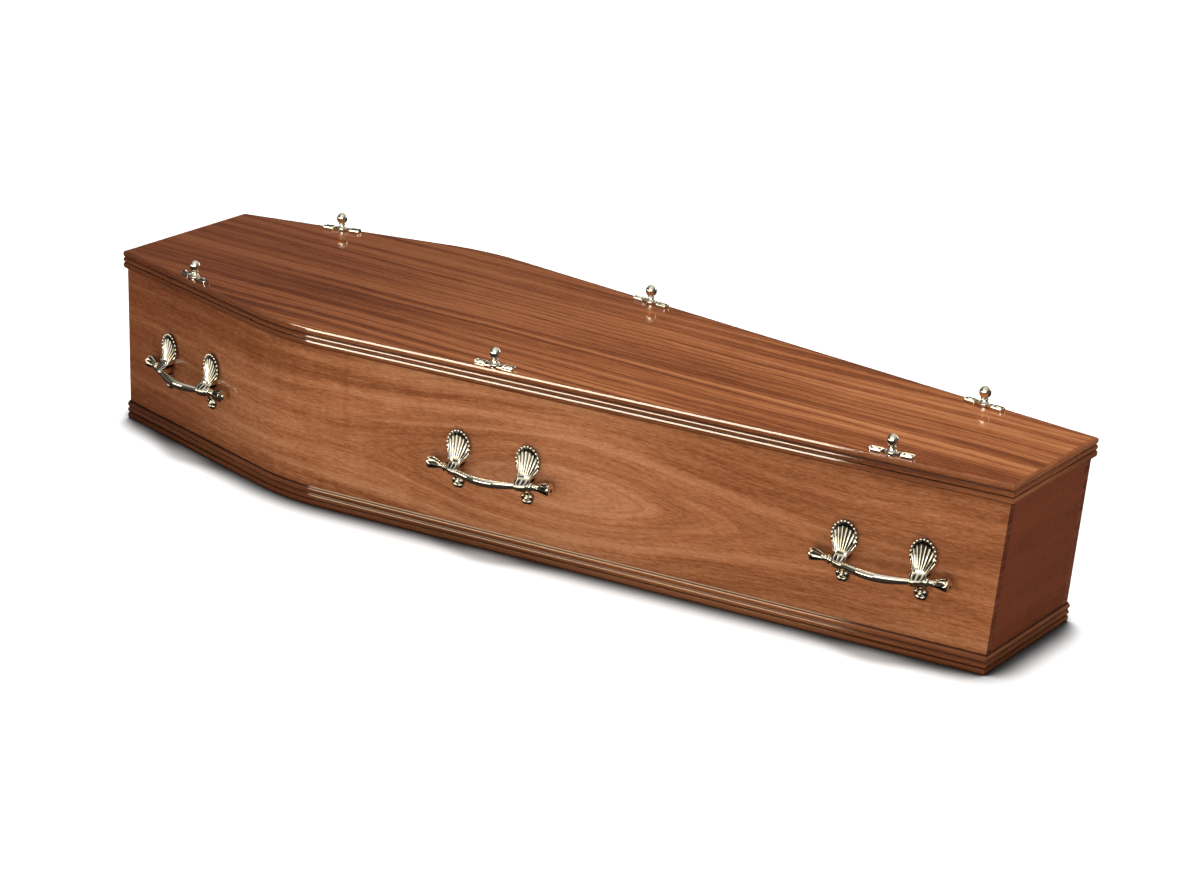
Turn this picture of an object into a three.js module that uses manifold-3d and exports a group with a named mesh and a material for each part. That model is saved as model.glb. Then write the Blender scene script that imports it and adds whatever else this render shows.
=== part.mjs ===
import * as THREE from 'three';
import Module from 'manifold-3d';

// A shouldered wooden coffin with its lid on, in millimetres.
// +X runs from the head to the foot and +Z is up; left and right are those of someone lying in it.

// Box of boards
const boxLength = 1912; // over the head board and the top of the foot board
const headWidth = 336; // over the side boards at the head
const shoulderWidth = 588; // where the two straight runs of each side would meet
const footWidth = 278; // over the side boards at the foot, at the top
const shoulderFromHead = 512; // the same meeting point, along the length
const shoulderRadius = 470; // of the kerf bend, on the outer face
const wallHeight = 322; // from the floor to the top edge of the boards
const footRake = 24; // the foot board's bottom edge stands this far inside its top edge
const wallThickness = 16;
const baseThickness = 16;
const lidThickness = 18;
const bendSteps = 4; // flats round each shoulder
const seam = 0.3; // joint line between neighbouring pieces

// Reeded mouldings
const lidTrimHeight = 35;
const lidTrimOverhang = 6.5;
const baseTrimHeight = 36;
const baseTrimOverhang = 4.5;
const reedCount = 3;
const reedDepth = 1.9;
const reedSteps = 3;
const trimBevel = 2;
const trimLip = 1;

// Handles: a bowed bar held by two cast lugs
const headHandleFromHead = 214; // middle of the handle, along the length
const middleHandleFromHead = 954;
const footHandleFromFoot = 212;
const barHeight = 145; // of the bar's axis above the floor
const barStandOff = 27; // of the bar's axis from the wall, half way along its bow
const barBow = 13; // how much further out its middle is, and how much nearer its ends
const barDip = 2; // how much lower its middle is, and how much higher its ends
const barRadius = 8.5; // at its middle
const barNeckRadius = 6; // where it passes through the lugs
const barSides = 8;
const barSteps = 6;
const barClearance = 0.4; // round the bar in its lugs
const lugSpacing = 142;
const lugHalfWidth = 12.3;

// Turned finial on each end of the bar
const finialLength = 46;
const finialRingRadius = 9;
const finialRingMiddle = 5.5; // from the lug's face
const finialRingFlat = 2.5;
const finialBellStart = 10; // from the lug's face
const finialBellMiddle = 26;
const finialBellMiddleRadius = 8.4;
const finialBellRadius = 11.8;
const finialMouth = 7; // from the bell's widest ring to the tip
const finialTipRadius = 4;
const finialFlute = 1.3;

// Cast lug, measured from the bar's axis
const shellTop = 69;
const shellCentre = 39;
const shellHalfWidth = 25;
const shellFrom = -15; // degrees, the lowest rib's end on each side of the fan
const shellRibs = 9;
const shellRows = 2;
const shellRibDepth = 1.3;
const shellScallop = 1.4;
const shellUndercut = 0.85; // width on the wall as a share of the front's
const shellRimDepth = 4.5; // how far the fan's rim stands off the wall
const waistHeight = 16;
const waistHalfWidth = 10.5;
const waistDepth = 17; // how far the waist stands off the wall
const collarDrop = 7.5;
const collarWall = 3; // metal in front of the bar
const collarLap = 4; // how far its root runs up behind the waist
const collarSink = 1; // how far its root lies inside the waist
const collarShoulder = 2; // how far its top edge stands out from the waist
const collarLip = 2; // bevel of the bright band in front of the bar
const collarFlutes = 2;
const collarFlute = 1.1;
const neckHalfWidth = 6;
const rosetteDrop = 28;
const rosetteRadius = 13;
const rosetteDepth = 8;
const rosetteRimDepth = 4;
const rosettePetals = 5;
const rosetteNotch = 2;

// Lid screws: a two-armed plate and a turned finial on it
const headScrewFromHead = 217;
const middleScrewFromHead = 945;
const footScrewFromFoot = 216;
const screwInset = 9; // from the outer face of the wall
const plateHalfLength = 40;
const plateHalfWidth = 7;
const plateTipHalfWidth = 3;
const plateRim = 1.6;
const plateHeight = 5.5;
const plateEdge = 3.3; // height of its outer edge
const plateRecess = 2;
const plateLeafLength = 22;
const plateLeafTaper = 5.5; // at each end of the leaf
const plateRibWidth = 3;
const bossRadius = 9;
const bossTopRadius = 5.5;
const bossHeight = 12;
const screwCollarRadius = 7;
const screwCollarHeight = 3.5;
const screwCollarBevel = 1;
const screwNeckRadius = 4;
const screwNeckHeight = 2.5;
const screwEggRadius = 8.5;
const screwEggHeight = 18;
const screwEggShape = [[0.16, 0.84], [0.42, 1], [0.76, 0.76], [1, 0.2]]; // shares of its height and radius
const turnedSides = 8;

const wasm = await Module();
wasm.setup();

const headX = -boxLength / 2;
const footX = boxLength / 2;
const shoulderX = headX + shoulderFromHead;
const shoulderHalf = shoulderWidth / 2;
const headAngle = Math.atan2(shoulderHalf - headWidth / 2, shoulderFromHead);
const footAngle = Math.atan2(shoulderHalf - footWidth / 2, boxLength - shoulderFromHead);
const rakeAngle = Math.atan2(footRake, wallHeight);
const lidUnderside = wallHeight + seam;
const lidTop = lidUnderside + lidThickness;
const lugMiddle = lugSpacing / 2;
const lugInnerFace = lugMiddle - lugHalfWidth;
const lugOuterFace = lugMiddle + lugHalfWidth;

// Plan of one side, as half widths. An offset moves a line out from the boards' outer face.

function headRunHalf(x, offset) {
  return shoulderHalf + (x - shoulderX) * Math.tan(headAngle) + offset / Math.cos(headAngle);
}

function footRunHalf(x, offset) {
  return shoulderHalf - (x - shoulderX) * Math.tan(footAngle) + offset / Math.cos(footAngle);
}

function bendCentre() {
  const slopes = Math.tan(headAngle) + Math.tan(footAngle);
  const x = shoulderX - shoulderRadius * (1 / Math.cos(footAngle) - 1 / Math.cos(headAngle)) / slopes;
  return [x, headRunHalf(x, -shoulderRadius)];
}

function sidePlan(offset, startX, endX) {
  const [centreX, centreHalf] = bendCentre();
  const points = [[startX, headRunHalf(startX, offset)]];
  for (let step = 0; step <= bendSteps; step++) {
    const turn = -headAngle + (headAngle + footAngle) * step / bendSteps;
    const reach = shoulderRadius + offset;
    points.push([centreX + reach * Math.sin(turn), centreHalf + reach * Math.cos(turn)]);
  }
  points.push([endX, footRunHalf(endX, offset)]);
  return points;
}

function footFace(z) {
  return footX - footRake * (1 - Math.min(z, wallHeight) / wallHeight);
}

// Closed bodies

function signedVolume(points, triangles) {
  let sum = 0;
  for (const [a, b, c] of triangles) {
    sum += points[a].clone().cross(points[b]).dot(points[c]);
  }
  return sum / 6;
}

function body(points, triangles) {
  const outward = signedVolume(points, triangles) > 0;
  const geometry = new THREE.BufferGeometry();
  const positions = points.flatMap((point) => [point.x, point.y, point.z]);
  geometry.setAttribute('position', new THREE.Float32BufferAttribute(positions, 3));
  geometry.setIndex(triangles.flatMap(([a, b, c]) => (outward ? [a, b, c] : [a, c, b])));
  return geometry;
}

// Triangles over a flat loop of points, all turned the way that the loop runs.
function flatFill(loop) {
  const normal = new THREE.Vector3();
  loop.forEach((point, i) => {
    normal.add(point.clone().cross(loop[(i + 1) % loop.length]));
  });
  normal.normalize();
  const across = loop[1].clone().sub(loop[0]).normalize();
  const along = normal.clone().cross(across);
  const flat = loop.map((point) => new THREE.Vector2(point.dot(across), point.dot(along)));
  return THREE.ShapeUtils.triangulateShape(flat, []).map(([a, b, c]) => {
    const turn = flat[b].clone().sub(flat[a]).cross(flat[c].clone().sub(flat[a]));
    return turn > 0 ? [a, b, c] : [a, c, b];
  });
}

// A body through closed rings that have the same number of points, with flat ends.
function loft(rings) {
  const count = rings[0].length;
  const last = (rings.length - 1) * count;
  const triangles = [];
  for (let i = 0; i < rings.length - 1; i++) {
    for (let j = 0; j < count; j++) {
      const a = i * count + j;
      const b = i * count + (j + 1) % count;
      triangles.push([a, b, b + count], [a, b + count, a + count]);
    }
  }
  for (const [a, b, c] of flatFill(rings[0])) {
    triangles.push([a, c, b]);
  }
  for (const [a, b, c] of flatFill(rings[rings.length - 1])) {
    triangles.push([last + a, last + b, last + c]);
  }
  return body(rings.flat(), triangles);
}

// A body with a modelled front, given as rows of points, and a flat back below the front's edge.
function relief(rows, toBack) {
  let start = 0;
  const numbered = rows.map((row) => {
    const numbers = row.map((point, j) => start + j);
    start += row.length;
    return numbers;
  });
  const triangles = [];
  for (let i = 0; i < rows.length - 1; i++) {
    triangles.push(...strip(numbered[i], numbered[i + 1]));
  }
  const edge = [
    ...numbered[0].slice(0, -1),
    ...numbered.slice(0, -1).map((row) => row[row.length - 1]),
    ...numbered[numbered.length - 1].slice(1).reverse(),
    ...numbered.slice(1).map((row) => row[0]).reverse(),
  ];
  return closeBack(rows.flat(), triangles, edge, toBack);
}

// Triangles between two rows, which may have different numbers of points.
function strip(lower, upper) {
  const triangles = [];
  let i = 0;
  let j = 0;
  while (i < lower.length - 1 || j < upper.length - 1) {
    const nextLower = i < lower.length - 1 ? (i + 0.5) / (lower.length - 1) : Infinity;
    const nextUpper = j < upper.length - 1 ? (j + 0.5) / (upper.length - 1) : Infinity;
    if (nextLower < nextUpper) {
      triangles.push([lower[i], lower[i + 1], upper[j]]);
      i += 1;
    } else {
      triangles.push([lower[i], upper[j + 1], upper[j]]);
      j += 1;
    }
  }
  return triangles;
}

// A round body with a modelled front: rings from the edge inwards, then the point in the middle.
function roundRelief(rings, middle, toBack) {
  const count = rings[0].length;
  const points = [...rings.flat(), middle];
  const triangles = [];
  for (let i = 0; i < rings.length - 1; i++) {
    for (let j = 0; j < count; j++) {
      const a = i * count + j;
      const b = i * count + (j + 1) % count;
      triangles.push([a, b, b + count], [a, b + count, a + count]);
    }
  }
  const inner = (rings.length - 1) * count;
  for (let j = 0; j < count; j++) {
    triangles.push([inner + j, inner + (j + 1) % count, points.length - 1]);
  }
  return closeBack(points, triangles, rings[0].map((point, j) => j), toBack);
}

function closeBack(points, triangles, edge, toBack) {
  const start = points.length;
  const back = edge.map((index) => toBack(points[index]));
  edge.forEach((index, i) => {
    const next = (i + 1) % edge.length;
    triangles.push([edge[next], index, start + i], [edge[next], start + i, start + next]);
  });
  for (const [a, b, c] of flatFill(back)) {
    triangles.push([start + a, start + c, start + b]);
  }
  return body([...points, ...back], triangles);
}

function solidOf(geometry) {
  const vertProperties = new Float32Array(geometry.attributes.position.array);
  const triVerts = new Uint32Array(geometry.index.array);
  return new wasm.Manifold(new wasm.Mesh({ numProp: 3, vertProperties, triVerts }));
}

function geometryOf(solid) {
  const mesh = solid.getMesh();
  const geometry = new THREE.BufferGeometry();
  geometry.setAttribute('position', new THREE.BufferAttribute(mesh.vertProperties, 3));
  geometry.setIndex(new THREE.BufferAttribute(mesh.triVerts, 1));
  return geometry;
}

// Boards

function sideBoard(side) {
  const profile = [[0, 0], [0, wallHeight], [-wallThickness, wallHeight], [-wallThickness, 0]];
  return alongSide(profile, side, () => headX, footFace);
}

// A profile of [offset, height] points carried along one side from head to foot.
function alongSide(profile, side, startX, endX) {
  const plans = profile.map(([offset, z]) => sidePlan(offset, startX(offset), endX(z, offset)));
  const rings = [];
  for (let station = 0; station < plans[0].length; station++) {
    rings.push(plans.map((plan, i) => {
      const [x, half] = plan[station];
      return new THREE.Vector3(x, side * half, profile[i][1]);
    }));
  }
  return loft(rings);
}

function headBoard() {
  const outerX = headX;
  const innerX = headX + wallThickness;
  const half = (x) => headRunHalf(x, -wallThickness - seam);
  return loft([0, wallHeight].map((z) => crossRing(outerX, innerX, half, z)));
}

function footBoard() {
  const depth = wallThickness / Math.cos(rakeAngle);
  const half = (x) => footRunHalf(x, -wallThickness - seam);
  return loft([0, wallHeight].map((z) => crossRing(footFace(z), footFace(z) - depth, half, z)));
}

function crossRing(outerX, innerX, half, z) {
  return [
    new THREE.Vector3(outerX, -half(outerX), z),
    new THREE.Vector3(outerX, half(outerX), z),
    new THREE.Vector3(innerX, half(innerX), z),
    new THREE.Vector3(innerX, -half(innerX), z),
  ];
}

function planRing(offset, startX, endX, z) {
  const plan = sidePlan(offset, startX, endX);
  const right = plan.map(([x, half]) => new THREE.Vector3(x, -half, z));
  const left = plan.map(([x, half]) => new THREE.Vector3(x, half, z)).reverse();
  return [...right, ...left];
}

function baseBoard() {
  const offset = -wallThickness - seam;
  const startX = headX + wallThickness + seam;
  const footDepth = wallThickness / Math.cos(rakeAngle) + seam;
  return loft([0, baseThickness].map((z) => planRing(offset, startX, footFace(z) - footDepth, z)));
}

function lidBoard() {
  return loft([lidUnderside, lidTop].map((z) => planRing(0, headX, footX, z)));
}

// Reeded mouldings, mitred at the corners

function reededProfile(low, height, overhang, bevelOnTop) {
  const high = low + height;
  const pitch = (height - trimBevel) / reedCount;
  const reedsLow = bevelOnTop ? low : low + trimBevel;
  const face = [];
  for (let step = 0; step <= reedCount * reedSteps; step++) {
    const share = step / reedSteps;
    const swell = Math.min(1, Math.abs(Math.sin(Math.PI * share)) / Math.sin(Math.PI / reedSteps));
    face.push([overhang - reedDepth * (1 - swell), reedsLow + pitch * share]);
  }
  const lip = [seam + trimLip, bevelOnTop ? high : low];
  const front = bevelOnTop ? [...face, lip] : [lip, ...face];
  return [[seam, low], ...front, [seam, high]];
}

function sideTrim(profile, side, face) {
  return alongSide(profile, side, (offset) => headX - offset + seam, (z, offset) => face(z) + offset - seam);
}

function headTrim(profile) {
  return loft([-1, 1].map((side) => profile.map(([offset, z]) => {
    const x = headX - offset;
    return new THREE.Vector3(x, side * (headRunHalf(x, offset) - seam), z);
  })));
}

function footTrim(profile, face) {
  return loft([-1, 1].map((side) => profile.map(([offset, z]) => {
    const x = face(z) + offset;
    return new THREE.Vector3(x, side * (footRunHalf(x, offset) - seam), z);
  })));
}

// Handles, drawn flat on a wall: s along it, out from it, up from the bar's axis

function onWall(s, out, up) {
  return new THREE.Vector3(s, -out, up);
}

// The bar's axis at s from the middle of the handle.
function barAxis(s) {
  const swing = Math.cos(Math.PI * s / (lugOuterFace + finialLength));
  return { out: barStandOff + barBow * swing, up: -barDip * swing };
}

function barRing(s, radius, flute) {
  const { out, up } = barAxis(s);
  const ring = [];
  for (let side = 0; side < barSides; side++) {
    const turn = 2 * Math.PI * side / barSides;
    const reach = radius - (side % 2 ? flute : 0);
    ring.push(onWall(s, out + reach * Math.cos(turn), up + reach * Math.sin(turn)));
  }
  return ring;
}

function handleBar() {
  const rings = [];
  const finial = [
    [0, barNeckRadius, 0],
    [finialRingMiddle - finialRingFlat / 2, finialRingRadius, 0],
    [finialRingMiddle + finialRingFlat / 2, finialRingRadius, 0],
    [finialBellStart, barNeckRadius, 0],
    [finialBellMiddle, finialBellMiddleRadius, finialFlute],
    [finialLength - finialMouth, finialBellRadius, finialFlute],
    [finialLength, finialTipRadius, 0],
  ];
  for (const [along, radius, flute] of [...finial].reverse()) {
    rings.push(barRing(-lugOuterFace - along, radius, flute));
  }
  for (let step = 0; step <= barSteps; step++) {
    const share = 2 * step / barSteps - 1;
    const swell = Math.cos(Math.PI * share / 2);
    rings.push(barRing(lugInnerFace * share, barNeckRadius + (barRadius - barNeckRadius) * swell, 0));
  }
  for (const [along, radius, flute] of finial) {
    rings.push(barRing(lugOuterFace + along, radius, flute));
  }
  return loft(rings);
}

// Fan of ribs that leans from the smooth waist back to the wall.
function shell() {
  const rows = [[1, 0, -1].map((share) => onWall(waistHalfWidth * share, waistDepth, waistHeight))];
  const columns = shellRibs * 2;
  for (let step = 1; step <= shellRows; step++) {
    const reach = step / shellRows;
    const row = [];
    for (let column = 0; column <= columns; column++) {
      const share = column / columns;
      const turn = THREE.MathUtils.degToRad(shellFrom + (180 - 2 * shellFrom) * share);
      const rib = column % 2 ? 1 : -1;
      const rimS = (shellHalfWidth + rib * shellScallop / 2) * Math.cos(turn);
      const rimUp = shellCentre + (shellTop - shellCentre + rib * shellScallop / 2) * Math.sin(turn);
      const waistS = waistHalfWidth * (1 - 2 * share);
      const s = THREE.MathUtils.lerp(waistS, rimS, reach);
      const up = THREE.MathUtils.lerp(waistHeight, rimUp, reach);
      const lean = waistDepth - (waistDepth - shellRimDepth) * Math.sin(reach * Math.PI / 2);
      row.push(onWall(s, lean + rib * shellRibDepth / 2, up));
    }
    rows.push(row);
  }
  return relief(rows, (point) => onWall(point.x * shellUndercut, seam, point.z));
}

// Fluted collar over the bar, with the neck that carries it down to the rosette.
// The end is -1 for the lug nearer the head and 1 for the other: the collar follows the bar's bow.
function collar(end) {
  const axis = barAxis(lugMiddle).out;
  const hole = barNeckRadius + barClearance;
  const front = axis + hole + collarWall;
  const profile = [
    [seam, waistHeight + collarLap, neckHalfWidth, 0],
    [waistDepth - collarSink, waistHeight + collarLap, waistHalfWidth, 0],
    [waistDepth + collarShoulder, waistHeight - collarSink, waistHalfWidth, 1],
    [front - collarLip, hole + collarLip / 2, lugHalfWidth, 1],
    [front, 0, lugHalfWidth, 1],
    [front - 2 * collarLip, -collarDrop, lugHalfWidth, 0],
    [axis - hole - collarWall, -collarDrop - collarWall, lugHalfWidth, 0],
    [rosetteDepth, rosetteRadius / 2 - rosetteDrop, neckHalfWidth, 0],
    [seam, -rosetteDrop, neckHalfWidth, 0],
  ];
  const rings = [];
  for (let station = 0; station <= 2 * collarFlutes; station++) {
    const share = station / collarFlutes - 1;
    rings.push(profile.map(([out, up, half, fluted]) => {
      const dip = station % 2 ? fluted * collarFlute : 0;
      const bow = barAxis(end * lugMiddle + half * share).out - axis;
      return onWall(half * share, out - dip + bow * (out - seam) / front, up);
    }));
  }
  return loft(rings);
}

function rosette() {
  const count = rosettePetals * 2;
  const rim = [];
  for (let step = 0; step < count; step++) {
    const turn = Math.PI / 2 + 2 * Math.PI * step / count;
    const reach = rosetteRadius - (step % 2 ? rosetteNotch : 0);
    rim.push(onWall(reach * Math.cos(turn), rosetteRimDepth, -rosetteDrop + reach * Math.sin(turn)));
  }
  const middle = onWall(0, rosetteDepth, -rosetteDrop);
  return roundRelief([rim], middle, (point) => onWall(point.x, seam, point.z));
}

// Way for the bar through one lug, run on past its two faces.
function barHole(end) {
  const runOn = 0.1;
  const near = barRing(end * lugInnerFace, barNeckRadius + barClearance, 0);
  const far = barRing(end * lugOuterFace, barNeckRadius + barClearance, 0);
  const beyond = (from, to) => from.map((point, i) => point.clone().lerp(to[i], -runOn));
  const shift = new THREE.Vector3(-end * lugMiddle, 0, 0);
  return loft([beyond(near, far), beyond(far, near)].map((ring) => ring.map((point) => point.add(shift))));
}

function lug(end) {
  const metal = solidOf(shell()).add(solidOf(collar(end))).add(solidOf(rosette()));
  return geometryOf(metal.subtract(solidOf(barHole(end))));
}

// Lid screws

function plateArms() {
  const floor = plateHeight - plateRecess;
  const ribAt = plateHalfLength - plateLeafLength - plateRibWidth;
  const arm = [
    [plateHalfLength, plateTipHalfWidth, plateHeight - plateRecess / 2],
    [plateHalfLength - plateLeafTaper, plateHalfWidth, floor],
    [plateHalfLength - plateLeafLength + plateLeafTaper, plateHalfWidth, floor],
    [plateHalfLength - plateLeafLength, plateHalfWidth - plateRim, plateHeight],
    [ribAt, plateHalfWidth - plateRim, floor],
  ];
  const ends = [...arm, ...arm.map(([s, half, middle]) => [-s, half, middle]).reverse()];
  const rows = ends.map(([s, half, middle]) => [
    new THREE.Vector3(s, -half, plateEdge),
    new THREE.Vector3(s, plateRim - half, plateHeight),
    new THREE.Vector3(s, 0, middle),
    new THREE.Vector3(s, half - plateRim, plateHeight),
    new THREE.Vector3(s, half, plateEdge),
  ]);
  return relief(rows, (point) => new THREE.Vector3(point.x, point.y, 0));
}

// A turned body on its own axis: heights and radii from the bottom up.
function turned(profile) {
  return loft(profile.map(([z, radius]) => {
    const ring = [];
    for (let side = 0; side < turnedSides; side++) {
      const turn = 2 * Math.PI * side / turnedSides;
      ring.push(new THREE.Vector3(radius * Math.cos(turn), radius * Math.sin(turn), z));
    }
    return ring;
  }));
}

function screwPlate() {
  const boss = turned([
    [0, bossRadius],
    [plateHeight, bossRadius],
    [bossHeight, bossTopRadius],
  ]);
  return geometryOf(solidOf(plateArms()).add(solidOf(boss)));
}

function screwFinial() {
  const eggLow = screwCollarHeight + screwNeckHeight;
  const egg = screwEggShape.map(([up, out]) => [eggLow + up * screwEggHeight, out * screwEggRadius]);
  return turned([
    [0, bossTopRadius],
    [screwCollarBevel, screwCollarRadius],
    [screwCollarHeight - screwCollarBevel, screwCollarRadius],
    [screwCollarHeight, screwNeckRadius],
    [eggLow, screwNeckRadius],
    ...egg,
  ]);
}

// Places along the sides, as a point on the outer face and the wall's direction there

function wallPlace(side, x, inset) {
  const onHeadRun = x < shoulderX;
  const half = onHeadRun ? headRunHalf(x, -inset) : footRunHalf(x, -inset);
  const slope = onHeadRun ? headAngle : -footAngle;
  return { y: side * half, turn: side < 0 ? -slope : Math.PI + slope };
}

const coffin = new THREE.Group();

const veneer = { color: 0x8a4a2c, roughness: 0.25, metalness: 0 };
const trimWood = { color: 0x6e3420, roughness: 0.25, metalness: 0 };
const plated = { color: 0xd8c48c, roughness: 0.2, metalness: 1 };

function addPiece(parent, name, geometry, finish) {
  const mesh = new THREE.Mesh(geometry, new THREE.MeshStandardMaterial(finish));
  mesh.name = name;
  parent.add(mesh);
  return mesh;
}

function addHandle(station, sideName, side, x) {
  const { y, turn } = wallPlace(side, x, 0);
  const handle = new THREE.Group();
  handle.position.set(x, y, barHeight);
  handle.rotation.z = turn;
  const name = `handle_${station}_${sideName}`;
  addPiece(handle, `${name}_bar`, handleBar(), plated);
  for (const [letter, end] of [['a', -1], ['b', 1]]) {
    const piece = addPiece(handle, `${name}_lug_${letter}`, lug(end), plated);
    piece.position.x = end * lugMiddle;
  }
  coffin.add(handle);
}

function addLidScrew(station, sideName, side, x) {
  const { y, turn } = wallPlace(side, x, screwInset);
  const screw = new THREE.Group();
  screw.position.set(x, y, lidTop + seam);
  screw.rotation.z = turn;
  addPiece(screw, `lid_screw_plate_${station}_${sideName}`, screwPlate(), plated);
  const finial = addPiece(screw, `lid_screw_${station}_${sideName}`, screwFinial(), plated);
  finial.position.z = bossHeight + seam;
  coffin.add(screw);
}

addPiece(coffin, 'base_board', baseBoard(), veneer);
addPiece(coffin, 'head_board', headBoard(), veneer);
addPiece(coffin, 'foot_board', footBoard(), veneer);
addPiece(coffin, 'lid_board', lidBoard(), veneer);

const lidTrim = reededProfile(lidTop - lidTrimHeight, lidTrimHeight, lidTrimOverhang, false);
const baseTrim = reededProfile(0, baseTrimHeight, baseTrimOverhang, true);
addPiece(coffin, 'lid_moulding_head', headTrim(lidTrim), trimWood);
addPiece(coffin, 'lid_moulding_foot', footTrim(lidTrim, () => footX), trimWood);
addPiece(coffin, 'base_moulding_head', headTrim(baseTrim), trimWood);
addPiece(coffin, 'base_moulding_foot', footTrim(baseTrim, footFace), trimWood);

for (const [sideName, side] of [['right', -1], ['left', 1]]) {
  addPiece(coffin, `side_board_${sideName}`, sideBoard(side), veneer);
  addPiece(coffin, `lid_moulding_${sideName}`, sideTrim(lidTrim, side, () => footX), trimWood);
  addPiece(coffin, `base_moulding_${sideName}`, sideTrim(baseTrim, side, footFace), trimWood);
  addHandle('head', sideName, side, headX + headHandleFromHead);
  addHandle('middle', sideName, side, headX + middleHandleFromHead);
  addHandle('foot', sideName, side, footX - footHandleFromFoot);
  addLidScrew('head', sideName, side, headX + headScrewFromHead);
  addLidScrew('middle', sideName, side, headX + middleScrewFromHead);
  addLidScrew('foot', sideName, side, footX - footScrewFromFoot);
}

export default coffin;
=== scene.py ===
import math

import bmesh
import bpy
from mathutils import Matrix, Vector


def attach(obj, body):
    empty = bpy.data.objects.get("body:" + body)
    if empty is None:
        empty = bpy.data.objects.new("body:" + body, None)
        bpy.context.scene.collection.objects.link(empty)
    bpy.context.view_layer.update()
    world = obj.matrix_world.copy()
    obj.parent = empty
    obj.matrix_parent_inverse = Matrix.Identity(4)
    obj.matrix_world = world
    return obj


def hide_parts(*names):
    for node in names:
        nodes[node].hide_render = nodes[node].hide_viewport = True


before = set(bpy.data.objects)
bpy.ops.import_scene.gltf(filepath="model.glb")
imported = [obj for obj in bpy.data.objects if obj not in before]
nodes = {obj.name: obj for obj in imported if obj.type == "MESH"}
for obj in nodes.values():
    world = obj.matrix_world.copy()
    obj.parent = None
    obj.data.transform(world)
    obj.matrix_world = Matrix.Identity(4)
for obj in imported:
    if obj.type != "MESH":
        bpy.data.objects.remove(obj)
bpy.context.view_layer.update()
sideSigns = {"right": -1, "left": 1}  # of someone lying in it with the head at -X
stations = ("head", "middle", "foot")

# metres; the same plan as the solids
box = {
    "length": 1.912,
    "headWidth": 0.336,
    "shoulderWidth": 0.588,
    "footWidth": 0.278,
    "shoulderFromHead": 0.512,
    "shoulderRadius": 0.470,
    "wallHeight": 0.322,
    "footRake": 0.024,
    "wall": 0.016,
    "lid": 0.018,
    "seam": 0.0003,
    "bendSteps": 24,
    "bendInset": 0.00012,  # keeps the smooth bend inside the flats of the solids
    "arris": 0.0008,
    "arrisCut": 0.3,  # how far in the middle of a rounded edge lies, as a share of it
}

headX = -box["length"] / 2
footX = box["length"] / 2
shoulderX = headX + box["shoulderFromHead"]
shoulderHalf = box["shoulderWidth"] / 2
headAngle = math.atan2(shoulderHalf - box["headWidth"] / 2, box["shoulderFromHead"])
footAngle = math.atan2(shoulderHalf - box["footWidth"] / 2, box["length"] - box["shoulderFromHead"])
lidUnderside = box["wallHeight"] + box["seam"]
lidTop = lidUnderside + box["lid"]


# camera

view = {
    "place": (3.0294, -4.2396, 2.0901),  # metres
    "turn": 35.27,  # degrees round from looking along +Y
    "down": 20.66,
    "tilt": 1.9965,  # the photo leans a little
    "focalPixels": 3059.1,
    "imageWidth": 1181,
    "sensor": 36,
    "farthest": 100,
}


def placeCamera():
    turn, down, tilt = (math.radians(view[key]) for key in ("turn", "down", "tilt"))
    look = Vector((-math.sin(turn) * math.cos(down),
                   math.cos(turn) * math.cos(down), -math.sin(down)))
    level = Vector((math.cos(turn), math.sin(turn), 0))
    upright = level.cross(look)
    right = level * math.cos(tilt) + upright * math.sin(tilt)
    up = upright * math.cos(tilt) - level * math.sin(tilt)
    data = bpy.data.cameras.new("camera")
    data.sensor_width = view["sensor"]
    data.lens = view["sensor"] * view["focalPixels"] / view["imageWidth"]
    data.clip_end = view["farthest"]
    camera = bpy.data.objects.new("camera", data)
    turned = Matrix((right, up, -look)).transposed().to_4x4()
    camera.matrix_world = Matrix.Translation(view["place"]) @ turned
    bpy.context.scene.collection.objects.link(camera)
    bpy.context.scene.camera = camera


# node helpers

def addNode(tree, kind, inputs=None, **fields):
    node = tree.nodes.new(kind)
    for field, value in fields.items():
        setattr(node, field, value)
    for key, value in (inputs or {}).items():
        if isinstance(value, bpy.types.NodeSocket):
            tree.links.new(value, node.inputs[key])
        else:
            node.inputs[key].default_value = value
    return node


def calc(tree, operation, first, second=0.0, third=None):
    inputs = {0: first, 1: second}
    if third is not None:
        inputs[2] = third
    return addNode(tree, "ShaderNodeMath", inputs, operation=operation).outputs[0]


def joined(tree, x, y, z=0.0):
    return addNode(tree, "ShaderNodeCombineXYZ", {0: x, 1: y, 2: z}).outputs[0]


def noise(tree, vector, scale=1.0, detail=2.0, roughness=0.5):
    inputs = {"Vector": vector, "Scale": scale, "Detail": detail, "Roughness": roughness}
    return addNode(tree, "ShaderNodeTexNoise", inputs).outputs["Fac"]


def ramp(tree, value, stops):
    node = addNode(tree, "ShaderNodeValToRGB", {"Fac": value})
    bar = node.color_ramp
    while len(bar.elements) < len(stops):
        bar.elements.new(0.5)
    for element, (place, colour) in zip(bar.elements, stops):
        element.position = place
        element.color = (*colour, 1)
    return node.outputs["Color"]


def spread(tree, value, low, high, toLow=0.0, toHigh=1.0):
    inputs = {"Value": value, "From Min": low, "From Max": high, "To Min": toLow, "To Max": toHigh}
    node = addNode(tree, "ShaderNodeMapRange", inputs, interpolation_type="SMOOTHSTEP")
    return node.outputs[0]


def blended(tree, factor, first, second, kind="MIX"):
    inputs = {0: factor, 6: first, 7: second}  # the mix node's sockets for colours
    return addNode(tree, "ShaderNodeMix", inputs, data_type="RGBA", blend_type=kind).outputs[2]


# multiplies a colour by a tint: the pores' real tone, or painted shade on ends, grooves and the head
# end
def stainedOrShaded(tree, amount, colour, stainOrShade):
    return blended(tree, amount, colour, (*stainOrShade, 1), "MULTIPLY")


def stretched(tree, first, second, counts, seed):
    # a place for noise with so many counts a metre each way
    return joined(tree, calc(tree, "MULTIPLY", first, counts[0]),
                  calc(tree, "MULTIPLY", second, counts[1]), seed)


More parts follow.
